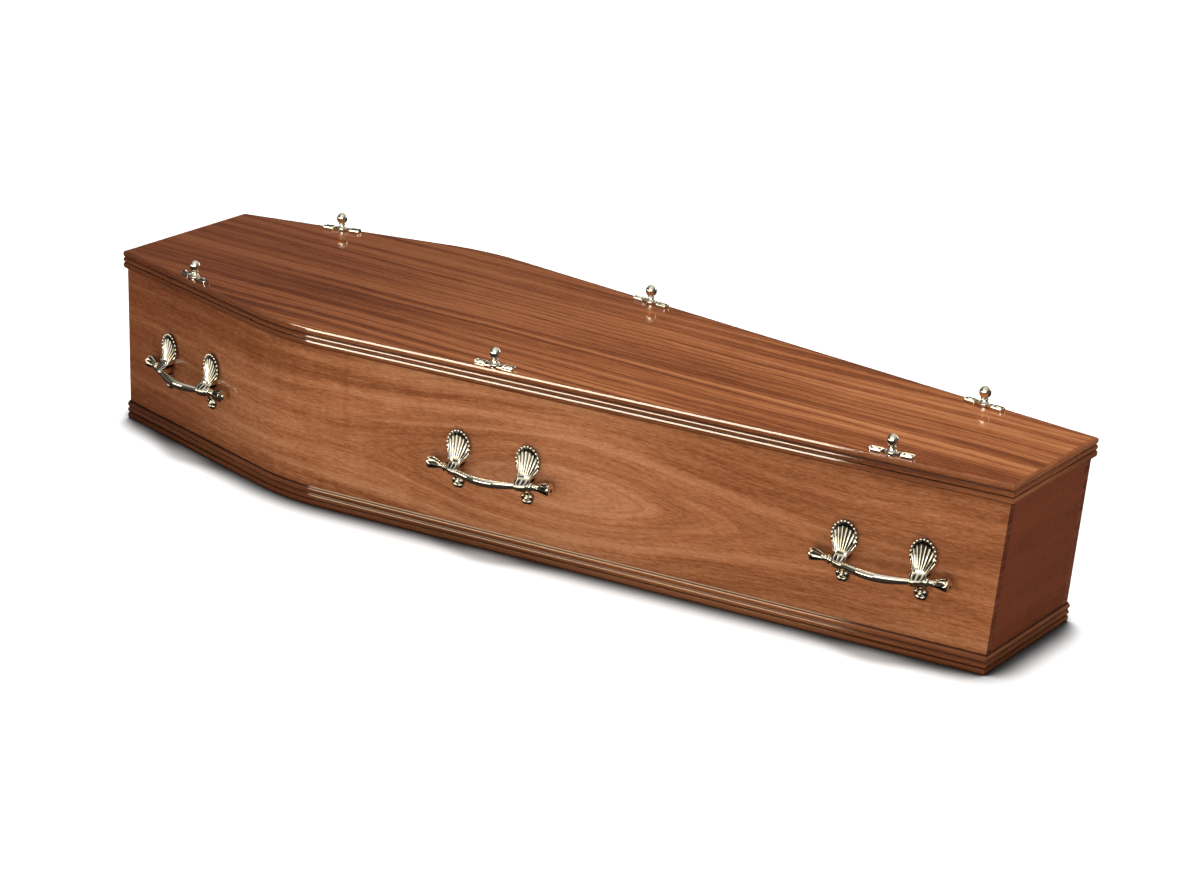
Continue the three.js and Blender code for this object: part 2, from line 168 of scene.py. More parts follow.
def paintedShade(tree):
    return addNode(tree, "ShaderNodeAttribute", attribute_name="recess").outputs["Fac"]


def newMaterial(name):
    material = bpy.data.materials.new(name)
    material.use_nodes = True
    return material, material.node_tree, material.node_tree.nodes["Principled BSDF"]


# wood: lengths in metres, counts per metre

axisNumber = {"x": 0, "y": 1, "z": 2}
veneer = {
    "along": "x",
    "across": "y",
    "crown": None,  # or its middle along, its middle across and its stretch
    "bands": 46,
    "bandWeight": 0.95,
    "bandDrift": 0.9,
    "wander": 0.012,
    "lines": 0.25,
    "linePitch": 0.011,
    "streaks": 420,  # thin streaks between the bands
    "streakWeight": 0.35,
    "fleckWeight": 0.25,
    "drift": 0.55,
    "toneReach": 0.31,  # a smaller reach gives more contrast
    "headShade": 0.0,  # painted shade: how much darker the head end is painted
    "shadeTo": -0.30,  # where along the coffin that fades out
    "curl": 0.0,  # faint bars across the grain by the shoulder
    "pores": 0.45,
    "grooves": 0.0,  # painted shade: how much darker the grooves of a moulding are painted
    "seed": 1.0,
    "dark": (0.120, 0.034, 0.010),
    "middle": (0.270, 0.086, 0.028),
    "light": (0.400, 0.150, 0.056),
    "gloss": 0.06,
}
lidLook = {
    "bands": 62,
    "bandWeight": 1.3,
    "bandDrift": 0.5,
    "wander": 0.008,
    "lines": 0.24,
    "streakWeight": 0.62,
    "toneReach": 0.29,
    "headShade": 0.75,
    "shadeTo": 0.55,
    "seed": 3.1,
    # painted shade: the lid is the same veneer as the sides, given darker tones because it takes more
    # light
    "dark": (0.130, 0.033, 0.009),
    "middle": (0.295, 0.096, 0.032),
    "light": (0.420, 0.165, 0.064),
}
rightLook = {
    "across": "z",
    "crown": (0.14, 0.150, 5.4),
    "bands": 48,
    "bandWeight": 0.62,
    "bandDrift": 1.6,
    "wander": 0.011,
    "lines": 0.34,
    "linePitch": 0.0105,
    "streaks": 470,
    "streakWeight": 0.30,
    "fleckWeight": 0.42,
    "headShade": 0.62,
    "curl": 0.06,
    "pores": 0.55,
    "seed": 5.7,
    "dark": (0.165, 0.046, 0.013),
    "middle": (0.370, 0.138, 0.056),
    "light": (0.540, 0.250, 0.120),
}
leftLook = dict(rightLook, seed=8.3, crown=(-0.12, 0.145, 5.8))
footLook = {
    "along": "y",
    "across": "z",
    "bands": 18,
    "wander": 0.003,
    "lines": 0.04,
    "streakWeight": 0.15,
    "fleckWeight": 0.12,
    "pores": 0.3,
    "seed": 11.9,
    # painted shade: the end boards are the side veneer darkened to about a third
    "dark": (0.122, 0.032, 0.012),
    "middle": (0.144, 0.037, 0.015),
    "light": (0.166, 0.043, 0.018),
}
headLook = dict(footLook, seed=14.2)
baseLook = {"bands": 20, "seed": 17.0, "gloss": 0.4}
sideMouldingLook = {
    "across": "z",
    "bands": 70,
    "wander": 0.004,
    "lines": 0.15,
    "headShade": 0.60,
    "shadeTo": -0.25,
    "grooves": 0.9,
    "seed": 21.0,
    "dark": (0.085, 0.024, 0.009),
    "middle": (0.180, 0.058, 0.022),
    "light": (0.300, 0.108, 0.042),
    "gloss": 0.05,
}
endMouldingLook = dict(sideMouldingLook, along="y", seed=23.0)

# what all the boards share; the first six are counts a metre, along and across
grain = {
    "wander": (2.2, 7.0),
    "fleck": (70, 330),
    "drift": (1.3, 2.6),
    "curl": (42, 5),
    "pore": (95, 800),
    "streakAlong": 14,
    # from the noise where a mark starts to the noise where it is whole
    "fleckEdge": (0.35, 0.65),
    "poreEdge": (0.54, 0.68),
    "crownPower": 1.5,  # under two makes the ovals pointed
    "crownReach": 0.07,  # further off the grain runs straight again
    "curlMiddle": shoulderX + 0.08,
    "curlFade": (0.10, 0.38),
    "lineWander": 2.4,
    "lineHalf": 0.16,  # of the way from one growth line to the next
    "endEdge": (0.80, 0.95),  # how squarely a face has to look along the coffin to be an end
    "poreShade": (0.42, 0.34, 0.30),
    # painted shade on faces that look along the coffin
    "endShade": (0.36, 0.27, 0.33),
    # painted shade toward the head end
    "headShadeTint": (0.25, 0.12, 0.06),
    # painted shade in the grooves of the mouldings
    "grooveShade": (0.14, 0.09, 0.06),
    "roughness": 0.7,
    "bump": 0.12,
    "bumpDepth": 0.0003,
}


def figure(tree, look, along, across):
    slow = stretched(tree, along, across, grain["wander"], look["seed"])
    wander = calc(tree, "SUBTRACT", noise(tree, slow, detail=2.5), 0.5)
    # noise keeps within about a quarter of its middle
    moved = calc(tree, "MULTIPLY_ADD", wander, look["wander"] * 4, across)
    if not look["crown"]:
        return moved
    middleAlong, middleAcross, stretch = look["crown"]
    reach = grain["crownReach"]
    power = grain["crownPower"]
    fromMiddle = calc(tree, "ABSOLUTE", calc(tree, "SUBTRACT", along, middleAlong))
    fromMiddle = calc(tree, "DIVIDE", fromMiddle, stretch)
    fromMiddle = calc(tree, "SMOOTH_MIN", fromMiddle, reach, reach / 2)
    above = calc(tree, "ABSOLUTE", calc(tree, "SUBTRACT", moved, middleAcross))
    sides = [calc(tree, "POWER", side, power) for side in (fromMiddle, above)]
    return calc(tree, "POWER", calc(tree, "ADD", *sides), 1 / power)


def woodMaterial(name, changes):
    look = dict(veneer, **changes)
    seed = look["seed"]
    material, tree, shader = newMaterial(name)
    place = addNode(tree, "ShaderNodeTexCoord").outputs["Object"]
    parts = addNode(tree, "ShaderNodeSeparateXYZ", {0: place})
    along = parts.outputs[axisNumber[look["along"]]]
    across = parts.outputs[axisNumber[look["across"]]]
    rings = figure(tree, look, along, across)

    bandPlace = stretched(tree, rings, along, (look["bands"], look["bandDrift"]), seed)
    bands = noise(tree, bandPlace, detail=3, roughness=0.6)
    streakPlace = stretched(tree, rings, along, (look["streaks"], grain["streakAlong"]), seed)
    streaks = noise(tree, streakPlace, detail=3, roughness=0.65)
    fleckPlace = stretched(tree, along, across, grain["fleck"], seed + 2)
    flecks = noise(tree, fleckPlace, detail=3, roughness=0.7)
    driftPlace = stretched(tree, along, across, grain["drift"], seed + 4)
    drift = noise(tree, driftPlace, detail=1.5)
    weights = [(bands, look["bandWeight"]), (streaks, look["streakWeight"]),
               (flecks, look["fleckWeight"]), (drift, look["drift"])]
    middleTone = sum(weight for part, weight in weights) / 2
    if look["curl"]:
        curlPlace = stretched(tree, along, across, grain["curl"], seed)
        bars = calc(tree, "SUBTRACT", noise(tree, curlPlace, detail=1), 0.5)
        away = calc(tree, "ABSOLUTE", calc(tree, "SUBTRACT", along, grain["curlMiddle"]))
        weights.append((bars, spread(tree, away, *grain["curlFade"], look["curl"] * 2, 0.0)))
    tone = 0.0
    for part, weight in weights:
        tone = calc(tree, "MULTIPLY_ADD", part, weight, tone)
    tone = spread(tree, tone, middleTone - look["toneReach"], middleTone + look["toneReach"])
    colour = ramp(tree, tone, [(0.0, look["dark"]), (0.5, look["middle"]), (1.0, look["light"])])

    # thin dark growth lines that follow the figure, broken up by the flecks
    ringCount = calc(tree, "DIVIDE", rings, look["linePitch"])
    ringCount = calc(tree, "MULTIPLY_ADD", bands, grain["lineWander"], ringCount)
    ringLine = spread(tree, calc(tree, "PINGPONG", ringCount, 0.5), 0.0, grain["lineHalf"], 1.0, 0.0)
    lineShare = calc(tree, "MULTIPLY", spread(tree, flecks, *grain["fleckEdge"]), look["lines"])
    thin = calc(tree, "MULTIPLY", ringLine, lineShare)
    colour = blended(tree, thin, colour, (*look["dark"], 1))

    # short open pores along the grain
    porePlace = stretched(tree, along, across, grain["pore"], seed)
    poreNoise = noise(tree, porePlace, detail=2, roughness=0.7)
    pores = spread(tree, poreNoise, *grain["poreEdge"])
    colour = stainedOrShaded(tree, calc(tree, "MULTIPLY", pores, look["pores"]), colour, grain["poreShade"])

    if look["along"] == "x":  # painted shade: faces that look along the coffin are darkened to the end boards' shaded tone
        normal = addNode(tree, "ShaderNodeNewGeometry").outputs["True Normal"]
        facing = addNode(tree, "ShaderNodeSeparateXYZ", {0: normal}).outputs[0]
        onEnd = spread(tree, calc(tree, "ABSOLUTE", facing), *grain["endEdge"])
        colour = stainedOrShaded(tree, onEnd, colour, grain["endShade"])
    # painted shade in the grooves
    if look["grooves"]:
        groove = calc(tree, "MULTIPLY", paintedShade(tree), look["grooves"])
        colour = stainedOrShaded(tree, groove, colour, grain["grooveShade"])
    # painted shade: the colour darkens toward the head end
    if look["headShade"]:
        shade = spread(tree, along, headX, look["shadeTo"], look["headShade"], 0.0)
        colour = stainedOrShaded(tree, shade, colour, grain["headShadeTint"])
    tree.links.new(colour, shader.inputs["Base Color"])

    shader.inputs["Roughness"].default_value = grain["roughness"]
    shader.inputs["Specular IOR Level"].default_value = 0.0  # all the shine is in the lacquer
    shader.inputs["Coat Weight"].default_value = 1.0
    shader.inputs["Coat Roughness"].default_value = look["gloss"]
    height = calc(tree, "MULTIPLY_ADD", streaks, 0.5, calc(tree, "MULTIPLY", pores, -0.5))
    bump = addNode(tree, "ShaderNodeBump", {"Strength": grain["bump"], "Distance": grain["bumpDepth"],
                                            "Height": height})
    tree.links.new(bump.outputs[0], shader.inputs["Normal"])
    return material


# metal

platedLook = {
    "bright": (0.88, 0.83, 0.70),
    "warm": (0.80, 0.72, 0.53),
    # painted shade: the near-black colour of the hollows
    "recess": (0.004, 0.0035, 0.003),
    "roughLow": 0.03,
    "roughHigh": 0.07,
    "recessRough": 0.10,
    "cloudScale": 70,
    "cloudEdge": (0.35, 0.7),
    "fineScale": 900,
    "fineEdge": (0.3, 0.7),
    "bump": 0.03,
    "bumpDepth": 0.0004,
}


def platedMaterial(name, look):
    material, tree, shader = newMaterial(name)
    place = addNode(tree, "ShaderNodeTexCoord").outputs["Object"]
    cloud = noise(tree, place, scale=look["cloudScale"], detail=3)
    fine = noise(tree, place, scale=look["fineScale"], detail=2)
    clouded = spread(tree, cloud, *look["cloudEdge"])
    colour = blended(tree, clouded, (*look["bright"], 1), (*look["warm"], 1))
    # painted shade: hollows darken toward near-black
    depth = paintedShade(tree)
    colour = blended(tree, depth, colour, (*look["recess"], 1))
    tree.links.new(colour, shader.inputs["Base Color"])
    shader.inputs["Metallic"].default_value = 1.0
    rough = spread(tree, fine, *look["fineEdge"], look["roughLow"], look["roughHigh"])
    rough = calc(tree, "MULTIPLY_ADD", depth, look["recessRough"], rough)
    tree.links.new(rough, shader.inputs["Roughness"])
    bump = addNode(tree, "ShaderNodeBump", {"Strength": look["bump"], "Distance": look["bumpDepth"],
                                            "Height": cloud})
    tree.links.new(bump.outputs[0], shader.inputs["Normal"])
    return material


lidWood = woodMaterial("lid veneer", lidLook)
rightWood = woodMaterial("right side veneer", rightLook)
leftWood = woodMaterial("left side veneer", leftLook)
footWood = woodMaterial("foot end veneer", footLook)
headWood = woodMaterial("head end veneer", headLook)
baseWood = woodMaterial("base board", baseLook)
sideMouldingWood = woodMaterial("side moulding wood", sideMouldingLook)
endMouldingWood = woodMaterial("end moulding wood", endMouldingLook)
plated = platedMaterial("pale brass plate", platedLook)
print("materials made")


# mesh helpers

class Shape:
    def __init__(self):
        self.points = []
        self.faces = []
        # recess: how much painted shade each point gets
        self.recess = []

    def add(self, point, recess=0.0):
        self.points.append(Vector(point))
        self.recess.append(recess)
        return len(self.points) - 1

    def grid(self, rows, closed=False):
        # rows of (point, painted shade) pairs; closed joins each row's end to its start
        numbers = [[self.add(*pair) for pair in row] for row in rows]
        count = len(rows[0])
        for lower, upper in zip(numbers, numbers[1:]):
            for j in range(count if closed else count - 1):
                k = (j + 1) % count
                self.faces.append((lower[j], lower[k], upper[k], upper[j]))
        return numbers

    def tube(self, rows):
        # closed rings, with both ends capped
        numbers = self.grid(rows, closed=True)
        self.faces += [tuple(reversed(numbers[0])), tuple(numbers[-1])]


def loftShape(rows):
    shape = Shape()
    shape.tube(rows)
    return shape


def turnOutward(mesh, weld=1e-7):
    work = bmesh.new()
    work.from_mesh(mesh)
    bmesh.ops.remove_doubles(work, verts=work.verts, dist=weld)
    bmesh.ops.recalc_face_normals(work, faces=work.faces)
    work.to_mesh(mesh)
    work.free()


def makeMesh(name, shape, material, sharp):
    # sharp is the angle in degrees from which an edge isn't shaded smooth
    mesh = bpy.data.meshes.new(name)
    mesh.from_pydata([tuple(point) for point in shape.points], [], shape.faces)
    # the painted shade of each point, which the materials read
    layer = mesh.attributes.new("recess", "FLOAT", "POINT")
    layer.data.foreach_set("value", shape.recess)
    turnOutward(mesh)
    mesh.shade_smooth()
    mesh.set_sharp_from_angle(angle=math.radians(sharp))
    mesh.materials.append(material)
    return mesh


def makePiece(name, shape, material, slot, replaced, sharp=35):
    return placePiece(name, makeMesh(name, shape, material, sharp), slot, replaced)


# some lights shine on one group of pieces only, told by the slot or by words in the node's name
lightGroups = ("lid_moulding", "base_moulding", "plated_metal", "lid_screw", "_lug_")
receivers = {group: bpy.data.collections.new(group) for group in lightGroups}


def placePiece(name, mesh, slot, replaced, matrix=None):
    if matrix:
        mesh = mesh.copy()
        mesh.transform(matrix)
    piece = bpy.data.objects.new(name, mesh)
    bpy.context.scene.collection.objects.link(piece)
    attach(piece, "root")
    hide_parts(replaced)
    for group, collection in receivers.items():
        if slot == group or group in replaced:
            collection.objects.link(piece)
    return piece


# plan of one side as half widths; an offset moves a line out from the boards' outer face

def headRunHalf(x, offset):
    return shoulderHalf + (x - shoulderX) * math.tan(headAngle) + offset / math.cos(headAngle)


def footRunHalf(x, offset):
    return shoulderHalf - (x - shoulderX) * math.tan(footAngle) + offset / math.cos(footAngle)


def bendCentre():
    slopes = math.tan(headAngle) + math.tan(footAngle)
    radius = box["shoulderRadius"]
    x = shoulderX - radius * (1 / math.cos(footAngle) - 1 / math.cos(headAngle)) / slopes
    return x, headRunHalf(x, -radius)


def sidePlan(offset, startX, endX):
    centreX, centreHalf = bendCentre()
    reach = box["shoulderRadius"] + offset - box["bendInset"]
    points = [(startX, headRunHalf(startX, offset))]
    for step in range(box["bendSteps"] + 1):
        turn = -headAngle + (headAngle + footAngle) * step / box["bendSteps"]
        points.append((centreX + reach * math.sin(turn), centreHalf + reach * math.cos(turn)))
    points.append((endX, footRunHalf(endX, offset)))
    return points


def footFace(z):
    return footX - box["footRake"] * (1 - min(z, box["wallHeight"]) / box["wallHeight"])


def alongSide(profile, side, startX, endX):
    # the profile is of (offset, z, how deep in a groove, which sets its painted shade)
    plans = [sidePlan(offset, startX(offset), endX(z, offset)) for offset, z, groove in profile]
    rows = []
    for station in range(len(plans[0])):
        ring = []
        for (offset, z, groove), plan in zip(profile, plans):
            x, half = plan[station]
            ring.append((Vector((x, side * half, z)), groove))
        rows.append(ring)
    return rows


# boards

def roundedRectangle(low, high, innerOffset, outerOffset):
    arris = box["arris"]
    cut = arris * box["arrisCut"]
    corners = [(outerOffset, low, -1, 1), (outerOffset, high, -1, -1),
               (innerOffset, high, 1, -1), (innerOffset, low, 1, 1)]
    profile = []
    for number, (offset, z, inward, upward) in enumerate(corners):
        rounded = [(offset + inward * arris, z, 0), (offset + inward * cut, z + upward * cut, 0),
                   (offset, z + upward * arris, 0)]
        profile += rounded if number % 2 == 0 else reversed(rounded)
    return profile


def makeSideBoards():
    for sideName, side in sideSigns.items():
        profile = roundedRectangle(0, box["wallHeight"], -box["wall"], 0)
        rows = alongSide(profile, side, lambda offset: headX, lambda z, offset: footFace(z))
        wood = rightWood if side < 0 else leftWood
        makePiece(f"side_{sideName}", loftShape(rows), wood, "veneer", f"side_board_{sideName}")


def makeLid():
    edge = [(-box["arris"], lidUnderside), (0, lidUnderside + box["arris"]),
            (0, lidTop - box["arris"] / 2), (-box["arris"] / 2, lidTop)]
    rows = []
    for offset, z in edge:
        plan = sidePlan(offset, headX - offset, footX + offset)
        right = [Vector((x, -half, z)) for x, half in plan]
        left = [Vector((x, half, z)) for x, half in reversed(plan)]
        rows.append([(point, 0) for point in right + left])
    makePiece("lid", loftShape(rows), lidWood, "veneer", "lid_board")


def dressPlainBoards():
    for name, wood in (("base_board", baseWood), ("head_board", headWood), ("foot_board", footWood)):
        nodes[name].data.materials.clear()
        nodes[name].data.materials.append(wood)


makeSideBoards()
makeLid()
dressPlainBoards()
print("boards made")


# reeded mouldings, mitred at the corners

moulding = {
    "lidHeight": 0.035,
    "lidOverhang": 0.0065,
    "baseHeight": 0.036,
    "baseOverhang": 0.0045,
    "reeds": 3,
    "reedSteps": 14,
    "reedDepths": (0.0015, 0.0030, 0.0024),  # from the lowest up
    "bevel": 0.002,
    "lip": 0.001,
    "arris": 0.0018,
    "arrisSteps": 5,
    "topLean": 0.0006,
    "fullness": 0.75,  # below 1 makes a reed rounder
}


def reededProfile(low, height, overhang, bevelOnTop):
    high = low + height
    pitch = (height - moulding["bevel"]) / moulding["reeds"]
    reedsLow = low if bevelOnTop else low + moulding["bevel"]
    face = []
    for step in range(moulding["reeds"] * moulding["reedSteps"] + 1):
        share = step / moulding["reedSteps"]
        depth = moulding["reedDepths"][min(int(share), moulding["reeds"] - 1)]
        swell = abs(math.sin(math.pi * share)) ** moulding["fullness"]
        # the third value is painted shade, darkest at the bottom of a groove
        face.append((overhang - depth * (1 - swell), reedsLow + pitch * share, (1 - swell) ** 2))
    if not bevelOnTop:
        # the top reed runs up to a small rounded arris instead of a groove
        half = moulding["reedSteps"] // 2
        arris = moulding["arris"]
        lean = moulding["topLean"]
        upper = face[-half:]
        face = face[:-half]
        for step, (offset, z, groove) in enumerate(upper, 1):
            if z < high - arris:
                face.append((overhang - lean * (step / half) ** 2, z, 0))
        for step in range(moulding["arrisSteps"] + 1):
            turn = math.pi / 2 * step / moulding["arrisSteps"]
            inward = lean + arris * (1 - math.cos(turn))
            face.append((overhang - inward, high - arris * (1 - math.sin(turn)), 0))
    # the lip against the board gets full painted shade
    lip = (box["seam"] + moulding["lip"], high if bevelOnTop else low, 1)
    front = face + [lip] if bevelOnTop else [lip] + face
    return [(box["seam"], low, 0)] + front + [(box["seam"], high, 0)]


def headEnd(face, offset, z, side):
    x = headX - offset
    return Vector((x, side * (headRunHalf(x, offset) - box["seam"]), z))


def footEnd(face, offset, z, side):
    x = face(z) + offset
    return Vector((x, side * (footRunHalf(x, offset) - box["seam"]), z))


def lidFootFace(z):
    return footX


def makeMouldings():
    seam = box["seam"]
    lidLow = lidTop - moulding["lidHeight"]
    lidProfile = reededProfile(lidLow, moulding["lidHeight"], moulding["lidOverhang"], False)
    baseProfile = reededProfile(0, moulding["baseHeight"], moulding["baseOverhang"], True)
    kinds = {"lid": (lidProfile, lidFootFace), "base": (baseProfile, footFace)}
    for kind, (profile, face) in kinds.items():
        for sideName, side in sideSigns.items():
            rows = alongSide(profile, side, lambda offset: headX - offset + seam,
                             lambda z, offset: face(z) + offset - seam)
            name = f"{kind}_moulding_{sideName}"
            makePiece(f"{name}_reeded", loftShape(rows), sideMouldingWood, "moulding", name)
        for endName, mitre in (("head", headEnd), ("foot", footEnd)):
            rows = [[(mitre(face, offset, z, side), groove) for offset, z, groove in profile]
                    for side in (-1, 1)]
            name = f"{kind}_moulding_{endName}"
            makePiece(f"{name}_reeded", loftShape(rows), endMouldingWood, "moulding", name)


makeMouldings()
print("mouldings made")


# handles, drawn flat on a wall: s along it, out from it, up from the bar's axis

handle = {
    "fromHead": {"head": 0.214, "middle": 0.954},
    "fromFoot": {"foot": 0.212},
    "height": 0.145,
    "standOff": 0.027,
    "bow": 0.013,
    "dip": 0.002,
    "radius": 0.0085,
    "neck": 0.006,
    "lugSpacing": 0.142,
    "lugHalf": 0.0123,
    "finial": 0.046,
    "barSides": 40,
    "gripSteps": 26,
    "bellFlutes": 8,
    "bellFluteDepth": 0.0013,
    "bellFluteEdge": 3,  # a higher power makes the flutes wider
    "sharp": 40,
}
# distance from the lug's face, radius and depth of fluting, from the neck to the tip
bell = [
    (0.0000, 0.0060, 0), (0.0022, 0.0062, 0), (0.0030, 0.0078, 0), (0.0042, 0.0088, 0),
    (0.0055, 0.0090, 0), (0.0068, 0.0088, 0), (0.0080, 0.0077, 0), (0.0088, 0.0062, 0),
    (0.0105, 0.0058, 0), (0.0125, 0.0066, 0), (0.0140, 0.0068, 0), (0.0155, 0.0063, 0.3),
    (0.0190, 0.0074, 0.8), (0.0230, 0.0086, 1), (0.0270, 0.0096, 1), (0.0310, 0.0108, 1),
    (0.0345, 0.0117, 1), (0.0372, 0.0122, 0.8), (0.0392, 0.0123, 0.2), (0.0408, 0.0119, 0),
    (0.0418, 0.0104, 0), (0.0424, 0.0082, 0), (0.0430, 0.0062, 0), (0.0440, 0.0050, 0),
    (0.0452, 0.0040, 0), (0.0460, 0.0020, 0),
]
lug = {
    "shellTop": 0.069,
    "shellCentre": 0.039,
    "shellHalf": 0.0238,
    "shellFrom": -15,  # degrees; where the rim starts, below level
    "ribs": 9,
    "ribSteps": 8,
    "rows": 14,
    "ribDepth": 0.0016,
    "ribStart": 0.4,  # share of that depth at the waist
    "ribGrowth": 1.5,
    "scallop": 0.0014,
    "undercut": 0.85,  # width of the shell at the wall, as a share of the rim's
    "rimDepth": 0.0045,
    "waistHeight": 0.016,
    "waistHalf": 0.0136,
    "waistDepth": 0.017,
    "rimFrom": 0.84,
    "rimRoll": 0.0010,
    # painted shade on the rim band and on the skirt against the wall
    "rimShade": 0.9,
    "hollowEdge": 1.2,  # a higher power keeps the painted shade nearer the bottom of the hollows
    "hollowGrowth": 8,
    "beads": 13,
    "beadRadius": 0.0027,
    "beadShift": 0.75,  # of a radius in from the rim
    "beadFlatness": 0.8,
    "collarWall": 0.003,
    "clearance": 0.0004,
    "collarFlutes": 5,
    "collarFluteSteps": 8,
    "collarFluteDepth": 0.0014,
    "collarSquareness": 0.2,  # nearer 0 makes its front flatter
    "collarSlope": 1.5,  # how deep its sides go, for each half width
    "neckHalf": 0.006,
    # painted shade on the collar's neck and round the rosette's boss
    "neckShade": 0.5,
    "rosetteDrop": 0.028,
    "rosetteRadius": 0.013,
    "rosetteRim": 0.004,
    "petals": 5,
    "petalSteps": 14,
    "petalNotch": 0.002,
    "petalCrease": 0.0022,
    "petalEdge": 0.6,  # a lower power makes the creases narrower
    "bossShare": 0.32,  # of the radius, where the petals end
    "sharp": 48,
}
lugMiddle = handle["lugSpacing"] / 2
lugInner = lugMiddle - handle["lugHalf"]
lugOuter = lugMiddle + handle["lugHalf"]


def onWall(s, out, up):
    return Vector((s, -out, up))


def barAxis(s):
    swing = math.cos(math.pi * s / (lugOuter + handle["finial"]))
    return handle["standOff"] + handle["bow"] * swing, -handle["dip"] * swing


def barRing(s, radius, flute):
    out, up = barAxis(s)
    ring = []
    for side in range(handle["barSides"]):
        turn = 2 * math.pi * side / handle["barSides"]
        ridge = abs(math.cos(turn * handle["bellFlutes"] / 2)) ** handle["bellFluteEdge"]
        # painted shade in the flutes' hollows
        hollow = (1 - ridge) * flute
        reach = radius - hollow * handle["bellFluteDepth"]
        point = onWall(s, out + reach * math.cos(turn), up + reach * math.sin(turn))
        ring.append((point, hollow))
    return ring


def barShape():
    rows = [barRing(-lugOuter - along, radius, flute) for along, radius, flute in reversed(bell)]
    for step in range(handle["gripSteps"] + 1):
        share = 2 * step / handle["gripSteps"] - 1
        swell = (handle["radius"] - handle["neck"]) * math.cos(math.pi * share / 2)
        rows.append(barRing(lugInner * share, handle["neck"] + swell, 0))
    rows += [barRing(lugOuter + along, radius, flute) for along, radius, flute in bell]
    return loftShape(rows)


def shellRim(share, rib):
    turn = math.radians(lug["shellFrom"] + (180 - 2 * lug["shellFrom"]) * share)
    scallop = (rib - 0.5) * lug["scallop"]
    s = (lug["shellHalf"] + scallop) * math.cos(turn)
    up = lug["shellCentre"] + (lug["shellTop"] - lug["shellCentre"] + scallop) * math.sin(turn)
    return s, up


def shellPoint(share, reach):
    # share runs round the rim, reach from the waist to the rim
    rib = abs(math.cos(math.pi * lug["ribs"] * share)) ** 2
    rimS, rimUp = shellRim(share, rib)
    s = lug["waistHalf"] * (1 - 2 * share) * (1 - reach) + rimS * reach
    up = lug["waistHeight"] * (1 - reach) + rimUp * reach
    fall = (lug["waistDepth"] - lug["rimDepth"]) * math.sin(reach * math.pi / 2)
    depth = lug["ribDepth"] * min(1, lug["ribStart"] + lug["ribGrowth"] * reach)
    rolled = max(0, (reach - lug["rimFrom"]) / (1 - lug["rimFrom"]))
    roll = lug["rimRoll"] * math.sin(rolled * math.pi)
    # painted shade: dark in the flutes' hollows and on the rim
    shade = lug["rimShade"]
    if reach <= lug["rimFrom"]:
        shade = (1 - rib) ** lug["hollowEdge"] * min(1, lug["hollowGrowth"] * reach)
    return onWall(s, lug["waistDepth"] - fall + (rib - 0.5) * depth + roll, up), shade


def addShell(shape):
    columns = lug["ribs"] * lug["ribSteps"]
    rows = [[shellPoint(column / columns, row / lug["rows"]) for column in range(columns + 1)]
            for row in range(lug["rows"] + 1)]
    rows.append([(onWall(point.x * lug["undercut"], box["seam"], point.z), lug["rimShade"])
                 for point, shade in rows[-1]])
    shape.grid(rows)
    for number in range(lug["beads"]):
        rimS, rimUp = shellRim((number + 0.5) / lug["beads"], 1)
        inward = Vector((-rimS, 0, lug["shellCentre"] - rimUp)).normalized()
        centre = onWall(rimS, lug["rimDepth"] + lug["ribDepth"] / 2, rimUp)
        centre += inward * lug["beadRadius"] * lug["beadShift"]
        addBead(shape, centre, lug["beadRadius"], lug["beadFlatness"])


def addBead(shape, centre, radius, flatness, sides=12, steps=6):
    rows = []
    for step in range(1, steps):
        turn = math.pi * step / steps
        ring = []
        for side in range(sides):
            around = 2 * math.pi * side / sides
            offset = Vector((math.sin(turn) * math.cos(around), -math.cos(turn) * flatness,
                             math.sin(turn) * math.sin(around)))
            ring.append((centre + offset * radius, 0))
        rows.append(ring)
    shape.tube(rows)


def collarSections(axis, hole, front):
    # up, front, half width, depth of the flutes
    half = handle["lugHalf"]
    waist = lug["waistHalf"]
    neck = lug["neckHalf"]
    return [
        (0.0205, 0.0145, waist * 0.9, 0), (0.0185, 0.0172, waist, 0),
        (0.0165, 0.0186, waist, 0), (0.0148, 0.0190, waist, 0),
        (0.0140, 0.0200, waist * 1.04, 0), (0.0132, 0.0214, waist * 1.06, 0),
        (0.0124, 0.0226, waist * 1.02, 0.5), (0.0110, 0.0250, waist * 1.02, 1),
        (0.0085, 0.0288, waist * 1.06, 1), (0.0062, 0.0316, half * 0.96, 1),
        (0.0048, 0.0326, half * 0.97, 0.5), (0.0042, front - 0.0006, half, 0),
        (0.0030, front, half, 0), (0.0000, front, half, 0),
        (-0.0022, front - 0.0002, half, 0), (-0.0032, front - 0.0012, half, 0),
        (-0.0036, front - 0.0028, half * 0.95, 0.3), (-0.0055, front - 0.0034, half * 0.95, 1),
        (-0.0078, front - 0.0050, half * 0.93, 1), (-0.0094, front - 0.0100, half * 0.86, 0.5),
        (-0.0110, axis - hole, half * 0.7, 0), (-0.0150, 0.0130, neck, 0),
        (-0.0215, 0.0085, neck, 0), (-0.0280, 0.0040, neck, 0),
    ]


